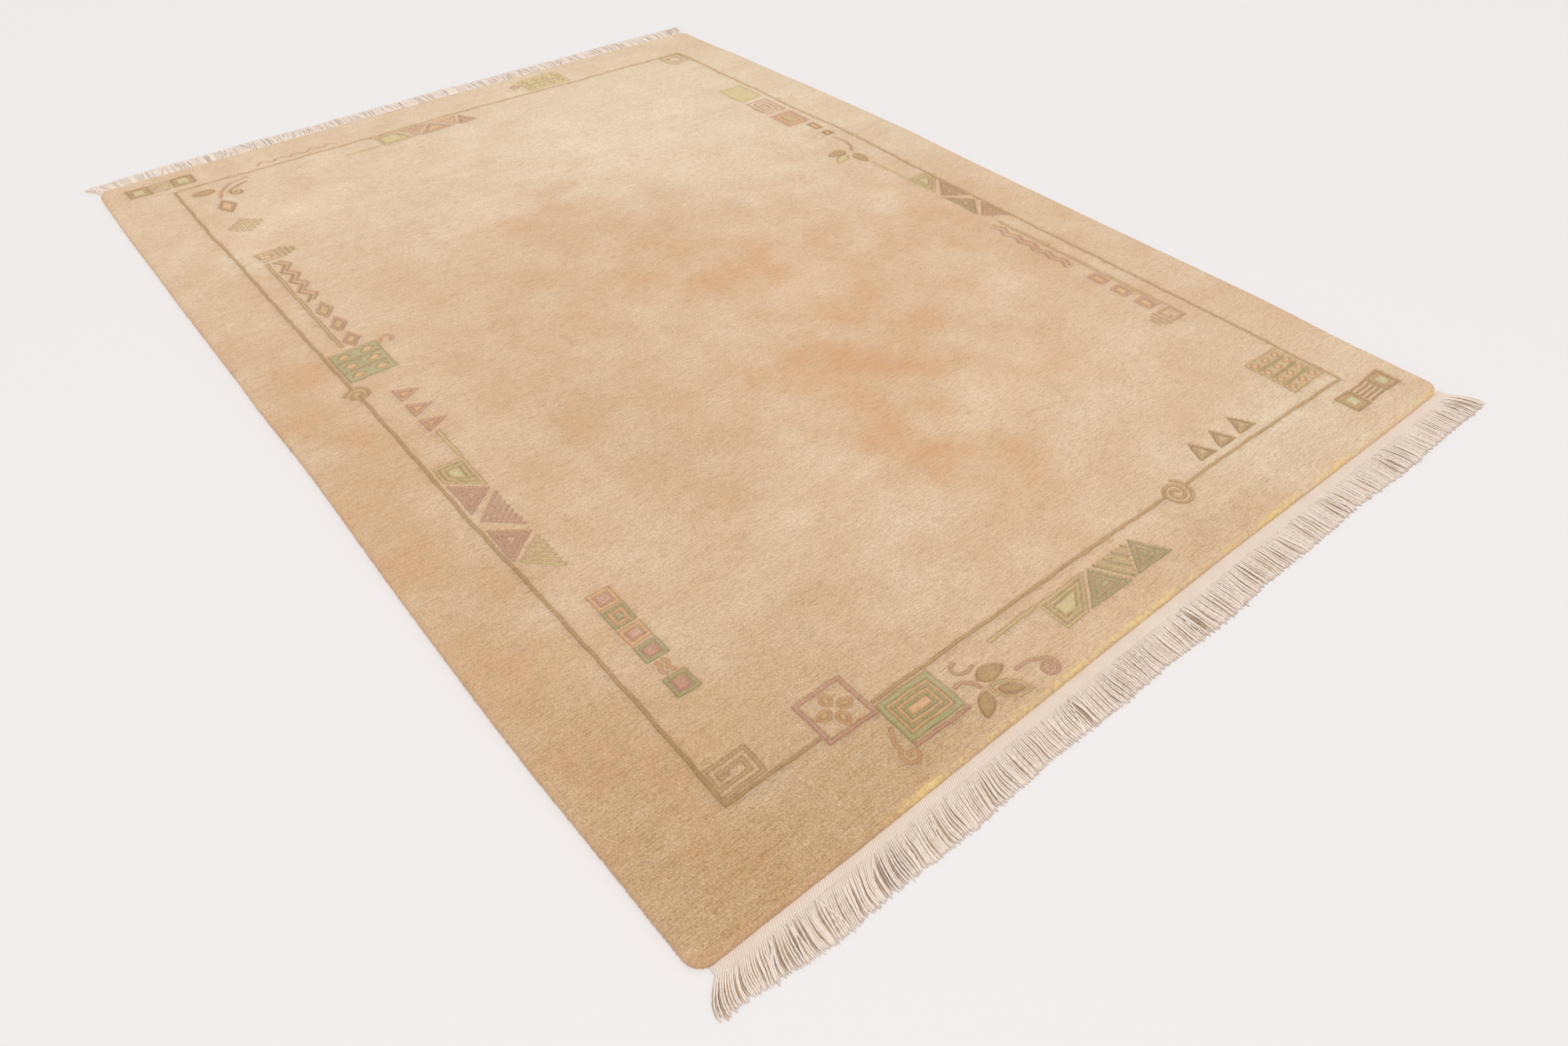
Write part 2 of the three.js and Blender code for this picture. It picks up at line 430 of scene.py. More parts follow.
def nested(points, dyes, width=NEST_STROKE, gap=NEST_GAP, middle=None):
    """Bands one inside another, with ground between them, and a middle of one dye if there is one."""
    made = []
    for step, dye in enumerate(dyes):
        made += outlined(points, width, dye, step * (width + gap))
    if middle:
        made += filled(moved_aside(anticlockwise(points), len(dyes) * (width + gap), True), middle)
    return made


def striped_triangle(first, point, last, dyes):
    """Stripes side by side along the first and last corners' side, shortening towards the point."""
    first, point, last = np.array(first, float), np.array(point, float), np.array(last, float)
    side = last - first
    depth = abs(side[0] * (point - first)[1] - side[1] * (point - first)[0]) / np.linalg.norm(side)
    made = []
    for step in range(int((depth - NEST_STROKE) / STRIPE_PITCH) + 1):
        share = (NEST_STROKE / 2 + step * STRIPE_PITCH) / depth
        ends = [first + (point - first) * share, last + (point - last) * share]
        made += line(ends, NEST_STROKE, dyes[step % len(dyes)])
    return made


def key_square(at, size, dye):
    """A square spiral drawn as one stroke."""
    return line(key_path(at, (size[0] - KEY_STROKE, size[1] - KEY_STROKE)), KEY_STROKE, dye)


def tile(at, size, border, middle):
    """A small square with a border and a middle."""
    return nested(rectangle(at, size), (border,), 6.5, 2.0, middle)


def stripes(first, last, count, width, dyes):
    """Straight strokes stepped evenly from the first to the last, the dyes taken in turn."""
    first, last = np.array(first, float), np.array(last, float)
    made = []
    for step in range(count):
        path = first + (last - first) * step / (count - 1)
        made += line(path, width, dyes[step % len(dyes)])
    return made


def zigzag(start, stop, swing, period, width, dye):
    """A zigzag stroke up a border, swinging to the right from its line."""
    count = round(2 * (stop[1] - start[1]) / period)
    share = np.arange(count + 1) / count
    x = start[0] + (stop[0] - start[0]) * share + swing * (np.arange(count + 1) % 2)
    y = start[1] + (stop[1] - start[1]) * share
    return line(np.column_stack([x, y]), width, dye)


def flower_square(at, size):
    """A rose square round four gold petals."""
    made = outlined(rectangle(at, size), 6.0, "rose")
    for petal in range(4):
        angle = math.radians(90 * petal)
        toward = np.array([math.cos(angle), math.sin(angle)])
        made += nested(leaf(at + toward * 6, at + toward * 32, 18), ("marigold",), 3.2, 1.0, "saffron")
    return made


def three_square_bar(at, size):
    """Two brown squares with a barred panel between them."""
    side = size[1]
    reach = (size[0] - side) / 2
    made = []
    for way in (-1, 1):
        square = rectangle((at[0] + way * reach, at[1]), (side, side))
        made += nested(square, ("walnut", "saffron"), 4.2, 2.0, "sage")
    half = reach - side / 2 - 4
    top = at[1] + side / 2 - 4
    low = at[1] - side / 2 + 4
    ends = (((at[0] - half, top), (at[0] + half, top)), ((at[0] - half, low), (at[0] + half, low)))
    return made + stripes(ends[0], ends[1], 5, 3.6, ("walnut",))


def key_comb(at, size, way, dye):
    """A key square with bars beside it that get shorter."""
    made = key_square(at, size, dye)
    for step, tall in enumerate((46, 36, 22)):
        x = at[0] + way * (size[0] / 2 + 9 + step * 11)
        made += line([(x, at[1] - tall / 2), (x, at[1] + tall / 2)], KEY_STROKE, dye)
    return made


def sprig(stem, leaves):
    """A rose stem and its leaves, each leaf a stem end, a tip, a breadth and a dye."""
    made = line(curve(stem), 5.0, "rose")
    for base, tip, breadth, dye in leaves:
        made += filled(leaf(base, tip, breadth), dye)
    return made


def lozenge_panel(at, size, columns, rows, ground, bar):
    """A panel with rows of marigold lozenges parted by bars."""
    made = filled(rectangle(at, size), ground)
    wide, tall = size[0] / columns, size[1] / rows
    for row in range(rows):
        y = at[1] + (row - (rows - 1) / 2) * tall
        for column in range(columns):
            x = at[0] + (column - (columns - 1) / 2) * wide
            made += filled(lozenge((x, y), (wide * 0.6, tall * 0.55)), "marigold")
        if row:
            low = y - tall / 2
            made += line([(at[0] - size[0] / 2 + 7, low), (at[0] + size[0] / 2 - 7, low)], 4.0, bar)
    return made


# Ornaments, by the side of the rug they lie along.
FRAME_LEFT_NEAR = ((-539, -1054), (-694, -1054), (-692, -850), (-694, -600), (-699, -400), (-698, -200),
                   (-698, 38))
FRAME_LEFT_FAR = ((-701, 68), (-704, 300), (-705, 500), (-705, 700), (-709, 800), (-708, 950), (-707, 1076))
FRAME_FAR = ((-300, 1073), (-200, 1071), (0, 1075), (200, 1068), (400, 1062), (600, 1057), (728, 1054))
FRAME_RIGHT = ((733, 1000), (735, 760), (738, 680), (736, 560), (739, 480), (744, 400), (745, 300),
               (743, 200), (738, 100), (737, 0), (734, -200), (732, -400), (731, -600), (729, -850),
               (724, -950), (722, -1065))
FRAME_NEAR_RIGHT = ((560, -1061), (400, -1058), (256, -1058))
FRAME_NEAR_LEFT = ((201, -1058), (0, -1054), (-448, -1054))


def frame_line():
    """The khaki line round the field, broken by the flower square and the two coils."""
    made = line(FRAME_LEFT_NEAR, LINE_WIDTH, "khaki") + line(FRAME_NEAR_LEFT, LINE_WIDTH, "khaki")
    return made + line(FRAME_LEFT_FAR + FRAME_FAR + FRAME_RIGHT + FRAME_NEAR_RIGHT, LINE_WIDTH, "khaki")


def near_end_ornaments():
    """The ornaments of the near end, from left to right."""
    made = key_square((-656, -1022), (68, 50), "olive")
    made += flower_square(np.array([-494.0, -1031.0]), (84, 80))
    made += filled(rectangle((-401, -1098), (98, 74)), "moss")
    made += nested(rectangle((-401, -1098), (78, 54)), ("marigold", "marigold"), 5.0, 5.0, "marigold")
    made += line([(-450, -1142), (-352, -1142)], 5.0, "rose")
    made += line(np.vstack([curve([(-457, -1100), (-470, -1122)]), coil((-464, -1148), 16, 1.25, 110)]),
                 3.8, "marigold")
    made += sprig(((-346, -1108), (-332, -1108), (-322, -1117), (-317, -1132)),
                  (((-312, -1119), (-262, -1121), 26, "walnut"), ((-316, -1140), (-346, -1172), 24, "walnut"),
                   ((-300, -1146), (-268, -1169), 15, "walnut")))
    made += outlined(leaf((-309, -1138), (-258, -1177), 30), 3.8, "lime")
    made += line(curve(((-296, -1098), (-312, -1100), (-326, -1092), (-324, -1080), (-314, -1078))),
                 4.0, "olive")
    made += line(np.vstack([[(-258, -1138)], curve([(-230, -1140), (-216, -1148)]),
                            coil((-217, -1166), 17, 1.6, 80, -1)]), 4.5, "rose")
    made += line([(-248, -1081), (-146, -1080)], 5.4, "lime")
    made += nested([(-141, -1079), (-36, -1079), (-94, -1136), (-141, -1136)], ("lime", "lime"),
                   middle="lime")
    made += nested([(-25, -1080), (-84, -1136), (8, -1136)], ("moss", "moss"), middle="moss")
    made += striped_triangle((-16, -1080), (64, -1080), (17, -1136), ("moss", "lime"))
    made += nested([(72, -1080), (27, -1136), (108, -1136)], ("moss", "moss"), middle="moss")
    made += line(coil((224, -1062), 29, 2.2, 60, -1), 5.4, "khaki")
    for x in (346, 403, 461):
        made += nested([(x - 23, -1041), (x + 23, -1041), (x, -999)], ("walnut",), 5.0, 2.6, "olive")
    made += lozenge_panel((668, -983), (94, 104), 3, 4, "olive", "moss")
    return made + three_square_bar((729, -1116), (148, 46))


def left_side_ornaments():
    """The ornaments of the left side, from the near end to the far one."""
    made = []
    for y, tall, border, middle in ((-864, 40, "moss", "madder"), (-790, 38, "moss", "madder"),
                                    (-750, 36, "marigold", "rose"), (-665, 38, "marigold", "rose")):
        made += tile((-625, y), (38, tall - 2), border, middle)
    made += nested(rectangle((-625, -707), (38, 40)), ("moss", "marigold"), 5.0, 1.6, "moss")
    for x in (-634, -622):
        made += line(curve(((x, -814), (x + 4, -822), (x - 1, -832), (x + 4, -840))), 4.5, "marigold")
    made += striped_triangle((-682, -520), (-630, -480), (-630, -572), ("lime",))
    made += nested([(-689, -428), (-689, -514), (-634, -468)], ("rose", "rose"), 4.6, 2.8, "rose")
    made += striped_triangle((-686, -402), (-632, -452), (-632, -350), ("rose",))
    made += nested([(-688, -290), (-688, -376), (-636, -336)], ("rose", "rose"), 4.6, 2.8, "rose")
    made += nested([(-688, -238), (-634, -238), (-634, -326), (-688, -280)], ("lime", "lime"),
                   middle="lime")
    made += line([(-634, -144), (-634, -232)], 6.0, "lime")
    for low, high, apex in ((-138, -98, -117), (-84, -42, -62), (-28, 15, -8)):
        made += nested([(-646, low), (-646, high), (-603, apex)], ("rose",), 6.0, 1.5, "marigold")
    made += line(coil((-697, 43), 24, 1.8, 170, -1), 5.0, "khaki")
    made += lozenge_panel((-648, 137), (92, 106), 2, 3, "moss", "rose")
    made += line(curve(((-600, 172), (-588, 190), (-574, 190), (-570, 176), (-580, 170))), 4.0, "marigold")
    made += line([(-660, 206), (-659, 612)], 6.0, "olive")
    for x, y, tall in ((-634, 224, 56), (-633, 290, 58), (-634, 357, 68)):
        made += nested(lozenge((x, y), (36, tall), 5), ("rose",), 5.0, 1.5, "saffron")
    for x, dye in ((-649, "walnut"), (-636, "rose")):
        made += zigzag((x, 408), (x + 2, 606), 17.0, 50, 4.4, dye)
    made += key_comb((-643, 642), (44, 44), 1, "olive")
    for step in range(-3, 4):
        tall = 38 * (1 - abs(step) / 3.7)
        made += line([(-632 + step * 11, 812 - tall), (-632 + step * 11, 812 + tall)], 5.5, "lime")
    return made + nested(lozenge((-634, 931), (44, 76)), ("walnut",), 5.5, 2.5, "marigold")


def far_end_ornaments():
    """The ornaments of the far end, from left to right."""
    made = sprig(((-545, 1052), (-590, 1040), (-620, 1010), (-632, 978)),
                 (((-630, 1028), (-682, 1032), 32, "walnut"),))
    hook = np.vstack([curve([(-556, 1030), (-590, 1014), (-608, 1000)]), coil((-590, 990), 15, 1.4, 150)])
    made += line(hook, 4.5, "walnut")
    made += three_square_bar((-722, 1128), (150, 50))
    for x in (-490, -448, -406, -364, -322):
        made += line(curve(((x - 18, 1092), (x - 8, 1104), (x + 8, 1104), (x + 18, 1092))), 3.6, "marigold")
    made += line([(-306, 1010), (-226, 1010)], 5.4, "lime")
    made += nested([(-216, 1006), (-134, 1006), (-160, 1064), (-216, 1064)], ("lime",), middle="lime")
    made += striped_triangle((-150, 1064), (-126, 1006), (-76, 1064), ("rose",))
    made += nested([(-66, 1062), (-114, 1006), (-24, 1006)], ("rose",), middle="marigold")
    made += striped_triangle((-56, 1064), (-14, 1008), (8, 1064), ("marigold", "rose"))
    made += nested([(18, 1062), (-8, 1006), (46, 1006)], ("rose",), middle="rose")
    made += lozenge_panel((310, 1120), (124, 84), 4, 2, "lime", "moss")
    made += line(coil((226, 1128), 17, 1.6, 0), 4.5, "rose")
    return made + key_square((692, 1020), (66, 60), "olive")


def right_side_ornaments():
    """The ornaments of the right side, from the far end to the near one."""
    made = filled(rectangle((684, 695), (72, 98)), "lime")
    made += key_square((684, 582), (66, 88), "rose")
    made += nested(rectangle((685, 480), (70, 82)), ("rose", "marigold"), 8.0, 2.0, "olive")
    for x, y, tall in ((705, 403, 42), (704, 350, 26)):
        made += nested(rectangle((x, y), (24, tall)), ("walnut",), 5.0, 1.5, "marigold")
    made += sprig(((698, 322), (702, 285), (696, 255), (680, 230)),
                  (((666, 240), (610, 238), 30, "walnut"), ((674, 216), (668, 160), 30, "walnut"),
                   ((654, 222), (604, 196), 24, "lime")))
    made += line([(676, 150), (676, 34)], 5.4, "lime")
    made += nested([(676, 26), (731, 26), (731, -14), (676, -62)], ("lime", "lime"), 5.0, 3.2, "lime")
    for points, dye, between in ((((730, -28), (730, -122), (680, -84)), "rose", "marigold"),
                                 (((676, -96), (676, -200), (724, -146)), "moss", "olive"),
                                 (((728, -164), (728, -250), (680, -212)), "rose", "marigold")):
        made += nested(points, (dye, between, dye), 3.8, 2.8)
    made += line([(687, -256), (686, -704)], 6.5, "olive")
    for x in (646, 659):
        made += zigzag((x, -484), (x + 4, -262), 12.0, 44, 4.4, "rose")
    for y in (-556, -617, -676):
        made += nested(rectangle((662, y), (30, 38)), ("rose",), 6.0, 1.5, "marigold")
    return made + key_comb((669, -733), (40, 40), -1, "olive")


# Pile: one closed, carved mesh with a dye per patch.
def hand_wandered(points):
    """Drawn points moved a little, as an uneven hand moves them."""
    x, y = points.T
    moves = np.column_stack([waved(0.0, HAND_SIDEWAYS, x, y), waved(0.0, HAND_LENGTHWAYS, x, y)])
    return points + HAND_WANDER * moves


def end_line(end, x):
    """The line where the heading starts at an end, for places across the rug."""
    return end["side"] * (HALF_LENGTH - end["bow"] * ((x - DRAWING_SHIFT) / HALF_WIDTH) ** 2)


def set_back(end, x):
    """How far the pile stops short of that line."""
    return np.interp(x, *np.array(end["set_back"], float).T)


def pile_outline():
    """The widest ring of the pile's solid, drawn in a little along the near end, in evenly spaced points."""
    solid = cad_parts["knotted_pile"].data
    points = np.array([vertex.co for vertex in solid.vertices])
    ring = points[np.abs(points[:, 2] / MM - WIDEST_HEIGHT) < WIDEST_WITHIN][:, :2]
    ring = (ring - np.array([PILE_MIDDLE.x, PILE_MIDDLE.y])) / MM + np.array([DRAWING_SHIFT, 0.0])
    ring = np.unique(np.round(ring, 3), axis=0)
    ring = ring[np.argsort(np.arctan2(ring[:, 1], ring[:, 0] - DRAWING_SHIFT))]
    closed = np.vstack([ring, ring[:1]])
    run = np.concatenate([[0.0], np.cumsum(np.linalg.norm(np.diff(closed, axis=0), axis=1))])
    at = np.linspace(0.0, run[-1], round(run[-1] / EDGE_STEP), endpoint=False)
    outline = np.column_stack([np.interp(at, run, closed[:, 0]), np.interp(at, run, closed[:, 1])])
    for end in (NEAR_END, FAR_END):
        share = smoothstep(*END_FADE, end["side"] * outline[:, 1])
        outline[:, 1] -= end["side"] * share * set_back(end, outline[:, 0])
    return outline


def nearest_tree(points):
    """A search tree over plan points."""
    tree = kdtree.KDTree(len(points))
    for index, (x, y) in enumerate(points):
        tree.insert((x, y, 0.0), index)
    tree.balance()
    return tree


def distances(tree, points):
    """How far each plan point is from the tree's nearest one."""
    return np.array([tree.find((x, y, 0.0))[2] for x, y in points])


def inside(loops, points):
    """Which points lie inside an odd number of the loops."""
    odd = np.zeros(len(points), bool)
    for loop in loops:
        for (ax, ay), (bx, by) in zip(loop, np.roll(loop, -1, 0)):
            spans = (ay > points[:, 1]) != (by > points[:, 1])
            if spans.any():
                crossing = ax + (points[spans, 1] - ay) * (bx - ax) / (by - ay)
                odd[spans] ^= points[spans, 0] < crossing
    return odd


def faces_within(rim, points, faces):
    """The triangles whose middles lie inside the rim."""
    faces = np.array(faces)
    return faces[inside([rim], points[faces].mean(1))].tolist()


def field_points(rim, tree, rng):
    """Loose points over the pile's top, clear of the outlines and the rim."""
    low, high = rim.min(0), rim.max(0)
    x, y = np.meshgrid(np.arange(low[0], high[0], FIELD_STEP), np.arange(low[1], high[1], FIELD_ROW))
    x = x + FIELD_STEP / 2 * (np.arange(len(x)) % 2)[:, None]
    points = np.column_stack([x.ravel(), y.ravel()]) + rng.uniform(-FIELD_JITTER, FIELD_JITTER, (x.size, 2))
    points = points[inside([rim], points)]
    stained = spaced(STAIN, STAIN_STEP, False)
    points = np.vstack([points] + [moved_aside(stained, aside, False) for aside in STAIN_ROWS])
    return points[distances(tree, points) > CLEAR_OF_GROOVE]


def beside_points(loops, tree):
    """Points on both banks of each groove, left out where another groove is as near."""
    made = []
    for reach in BESIDE_STEPS:
        for side in (-1, 1):
            for loop in loops:
                made.append(moved_aside(loop, side * reach, True))
        banks = np.vstack(made[-2 * len(loops):])
        made[-2 * len(loops):] = [banks[distances(tree, banks) > 0.8 * reach]]
    points = np.vstack(made)
    cells = np.round(points / BESIDE_SPACING).astype(int)
    return points[np.unique(cells, axis=0, return_index=True)[1]]


def cloud_values(points):
    """The ground's dye depth and rosiness at plan points, the clouds' edges made ragged."""
    x, y = points.T
    x = waved(x, CLOUDS_ACROSS, x, y)
    y = waved(y, CLOUDS_ALONG, x, y)
    depth = np.full(len(points), GROUND_DEPTH)
    rosiness = np.full(len(points), GROUND_ROSINESS)
    for middle_x, middle_y, reach_x, reach_y, deeper, rosier in CLOUDS:
        share = np.exp(-((x - middle_x) / reach_x) ** 2 - ((y - middle_y) / reach_y) ** 2)
        depth += deeper * share
        rosiness += rosier * share
    stained = nearest_tree(spaced(STAIN, STAIN_FINE_STEP, False))
    depth += STAIN_DEPTH * bell(distances(stained, points) / STAIN_REACH)
    return np.clip(depth, 0.0, 1.0), np.clip(rosiness, 0.0, 1.0)


def swell(points):
    """The pile's gentle rise and fall in millimetres."""
    x, y = points.T
    broad = np.sin(x / 23.0 + y / 61.0) * np.sin(y / 31.0 - x / 73.0)
    return SWELL * (broad + 0.5 * np.sin(x / 11.0 - y / 13.0))


def placed(name, data):
    """A new object in the scene."""
    made = bpy.data.objects.new(name, data)
    bpy.context.scene.collection.objects.link(made)
    return made


def mesh_piece(name, points, faces, materials, face_slots=None):
    """A smooth mesh from drawing points and faces, riding on the rug."""
    mesh = bpy.data.meshes.new(name)
    mesh.from_pydata(to_scene(points).tolist(), [], faces)
    for material in materials:
        mesh.materials.append(material)
    if face_slots is not None:
        mesh.polygons.foreach_set("material_index", np.asarray(face_slots, np.int32))
    mesh.polygons.foreach_set("use_smooth", np.ones(len(mesh.polygons), bool))
    mesh.update()
    piece = placed(name, mesh)
    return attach(piece, "root")


def add_values(piece, name, values):
    """One number per point of a piece, for its material to read."""
    layer = piece.data.attributes.new(name, "FLOAT", "POINT")
    layer.data.foreach_set("value", np.asarray(values, np.float32))


def add_dye_values(piece, plan, edge):
    """The dye's depth, rosiness and edge colour, the edge being paler, painted light on its shaded side, and
    rosier.
    """
    depth, rosiness = cloud_values(plan)
    add_values(piece, "dye_depth_and_painted_light", depth - EDGE_PAINTED_LIGHT * edge)
    add_values(piece, "rosiness", rosiness + EDGE_ROSIER * edge)
    x, y = plan.T
    inward = y - end_line(NEAR_END, x) - set_back(NEAR_END, x)
    add_values(piece, "edge_dye", smoothstep(*YELLOW_INWARD, inward) * smoothstep(*YELLOW_FROM, x))


def carved_top(patches, rim, rng):
    """The pile's top in plan: points, triangles, distances from a groove, and which points are the rim's."""
    loops = [loop for _, group in patches for loop in group]
    grooves = nearest_tree(np.vstack([spaced(loop, TREE_STEP, True) for loop in loops]))
    rim_tree = nearest_tree(spaced(rim, TREE_STEP, True))
    loose = np.vstack([field_points(rim, grooves, rng), beside_points(loops, grooves)])
    loose = loose[distances(rim_tree, loose) > CLEAR_OF_RIM]
    points, edges, start = [], [], 0
    for loop in [rim] + loops:
        count = len(loop)
        points.append(loop)
        edges += [(start + step, start + (step + 1) % count) for step in range(count)]
        start += count
    plan = [Vector(point) for point in np.vstack(points + [loose]).tolist()]
    top, _, faces, sources, _, _ = delaunay_2d_cdt(plan, edges, [], 1, JOIN_WITHIN, True)
    top = np.array([(point.x, point.y) for point in top])
    rim_at = np.full(len(rim), -1)
    for index, origins in enumerate(sources):
        for origin in origins:
            if origin < len(rim):
                rim_at[origin] = index
    return top, faces_within(top[rim_at], top, faces), distances(grooves, top), rim_at


def rounded_edge(outline, ring, total, rng):
    """Rings of points down the pile's edge, the faces between them, and which points are lowest."""
    uneven = rng.normal(0.0, EDGE_UNEVEN, len(outline))
    uneven = (uneven + np.roll(uneven, 1) + np.roll(uneven, -1)) / 1.7
    bands, faces = [], []
    for inset, level in EDGE_SECTION[1:]:
        band = moved_aside(outline, inset, True)
        outward = band - moved_aside(outline, inset + 1.0, True)
        band = band + outward * (uneven * math.sin(math.pi * level / PILE_TOP))[:, None]
        bands.append(np.column_stack([band, np.full(len(band), level)]))
        lower = total + np.arange(len(band))
        faces += np.column_stack([ring, lower, np.roll(lower, -1), np.roll(ring, -1)]).tolist()
        ring, total = lower, total + len(band)
    return np.vstack(bands), faces, ring


def underside(foot, ring):
    """Triangles across the pile's flat underside, facing down."""
    foot = np.float32(foot).astype(float)
    around = [(step, (step + 1) % len(foot)) for step in range(len(foot))]
    plan = [Vector(point) for point in foot.tolist()]
    _, _, faces, sources, _, _ = delaunay_2d_cdt(plan, around, [], 1, JOIN_WITHIN, True)
    faces = faces_within(foot, foot, [[sources[corner][0] for corner in face] for face in faces])
    return [[int(ring[corner]) for corner in face[::-1]] for face in faces]


def dye_slots(patches, middles, count):
    """The material slot of each face: the ground's, or the dye of the last patch that its middle lies in."""
    slots = np.zeros(count, int)
    names = ["ground"] + list(DYES)
    for dye, group in patches:
        low, high = np.vstack(group).min(0), np.vstack(group).max(0)
        close = np.flatnonzero(((middles > low) & (middles < high)).all(1))
        slots[close[inside(group, middles[close])]] = names.index(dye)
    return slots


def knotted_pile(outline, materials):
    """The carved pile, from its top over its rounded edge to its flat underside."""
    rng = np.random.default_rng(PILE_SEED)
    patches = (frame_line() + near_end_ornaments() + left_side_ornaments() + far_end_ornaments()
               + right_side_ornaments())
    patches = [(dye, [hand_wandered(spaced(loop, OUTLINE_STEP, True)) for loop in loops])
               for dye, loops in patches]
    rim = moved_aside(outline, EDGE_SECTION[0][0], True)
    top, faces, away, rim_at = carved_top(patches, rim, rng)
    middles = top[np.array(faces)].mean(1)
    groove_and_painted_shade = bell(away / GROOVE_REACH)
    height = PILE_TOP - GROOVE_DEPTH * groove_and_painted_shade + swell(top)
    height[rim_at] = PILE_TOP
    edge, edge_faces, lowest = rounded_edge(outline, rim_at, len(top), rng)
    faces = faces + edge_faces + underside(edge[-len(outline):, :2], lowest)
    body = np.vstack([np.column_stack([top, height]), edge])
    piece = mesh_piece("pile", body, faces, materials, dye_slots(patches, middles, len(faces)))
    # Painted shade in the grooves, strongest at a groove's bottom.
    add_values(piece, "groove_and_painted_shade", GROOVE_SHADE * np.concatenate([groove_and_painted_shade, np.zeros(len(edge))]))
    rings = len(EDGE_SECTION) - 1
    down = np.repeat(np.arange(1, rings + 1) / rings, len(outline))
    add_dye_values(piece, body[:, :2], np.concatenate([np.zeros(len(top)), down]))
    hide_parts("knotted_pile")
    return piece


def edge_tufts(outline, material):
    """Loose wool ends that soften the pile's edge."""
    rng = np.random.default_rng(TUFT_SEED)
    count = len(outline) * TUFTS_A_STEP
    along = rng.uniform(0, len(outline), count)
    outline = np.vstack([outline, outline[:1]])
    first = along.astype(int)
    share = (along - first)[:, None]
    ahead = unit(outline[first + 1] - outline[first])
    outward = np.column_stack([ahead[:, 1], -ahead[:, 0]])
    level = rng.uniform(*TUFT_LEVELS, count)
    insets, levels = np.array(EDGE_SECTION[::-1]).T
    inset = np.interp(level * PILE_TOP, levels, insets)
    root = outline[first] * (1 - share) + outline[first + 1] * share - outward * (inset + 1.0)[:, None]
    root = np.column_stack([root, level * PILE_TOP - 0.3])
    aside = outward + rng.normal(0, TUFT_STRAY[0], (count, 2))
    aim = np.column_stack([aside, (level - 0.6) * 1.4 + rng.normal(0, TUFT_STRAY[1], count)])
    tip = root + unit(aim) * rng.uniform(*TUFT_LENGTHS, count)[:, None]
    tip[:, 2] = np.maximum(tip[:, 2], 0.3)
    across = np.column_stack([ahead, np.zeros(count)]) * rng.uniform(*TUFT_HALF_WIDTHS, count)[:, None]
    middle = (root + tip) / 2 + np.column_stack([np.zeros((count, 2)), rng.uniform(*TUFT_ARCH, count)])
    points = np.stack([root - across, root + across, middle + across * 0.8, tip, middle - across * 0.8], 1)
    base = np.arange(count)[:, None] * 5
    faces = (base + np.array([[0, 1, 2, 4]])).tolist() + (base + np.array([[4, 2, 3]])).tolist()
    piece = mesh_piece("edge_tufts", points.reshape(-1, 3), faces, [material])
    plan = points.reshape(-1, 3)[:, :2]
    # The loose ends get the edge's painted light too.
    add_dye_values(piece, plan, np.ones(len(plan)))
    return piece


# Fringe: the heading and its strands.
def heading(end, material):
    """The flat-woven band at one end, ribbed over each warp, with painted shade in the troughs between ribs.
    """
    columns = np.arange(end["left"], end["right"], WARP_PITCH / COLUMNS_A_WARP)
    across, level = np.array(HEADING_SECTION).T
    wide = len(across)
    x = np.repeat(columns, wide)
    step = np.tile(across, len(columns))
    level = np.tile(level, len(columns))
    row = np.tile(np.arange(wide), len(columns))
    slanted = np.abs(np.sin(np.pi * (x / WARP_PITCH + RIB_SLANT * row)))
    rib = RIB_HEIGHT * (slanted - 0.6) * (level > 1.0) * smoothstep(*RIBS_START, step)
    wander = waved(0.0, HEADING_WAVES, x)
    inner = set_back(end, x) + HEADING_LAP
    outward = step - inner * (1 - step / HEADING_WIDTH) + wander * step / HEADING_WIDTH
    points = np.column_stack([x, end_line(end, x) + end["side"] * outward, level + rib])
    grid = np.arange(len(x)).reshape(len(columns), wide)
    grid = np.column_stack([grid, grid[:, :1]])
    faces = np.stack([grid[:-1, :-1], grid[1:, :-1], grid[1:, 1:], grid[:-1, 1:]], -1).reshape(-1, 4)
    faces = faces[:, ::-1] if end["side"] < 0 else faces
    piece = mesh_piece("heading_" + end["name"], points, faces.tolist(), [material])
    add_values(piece, "painted_shade", RIB_SHADE * (1 - slanted) ** 0.7)
    return piece


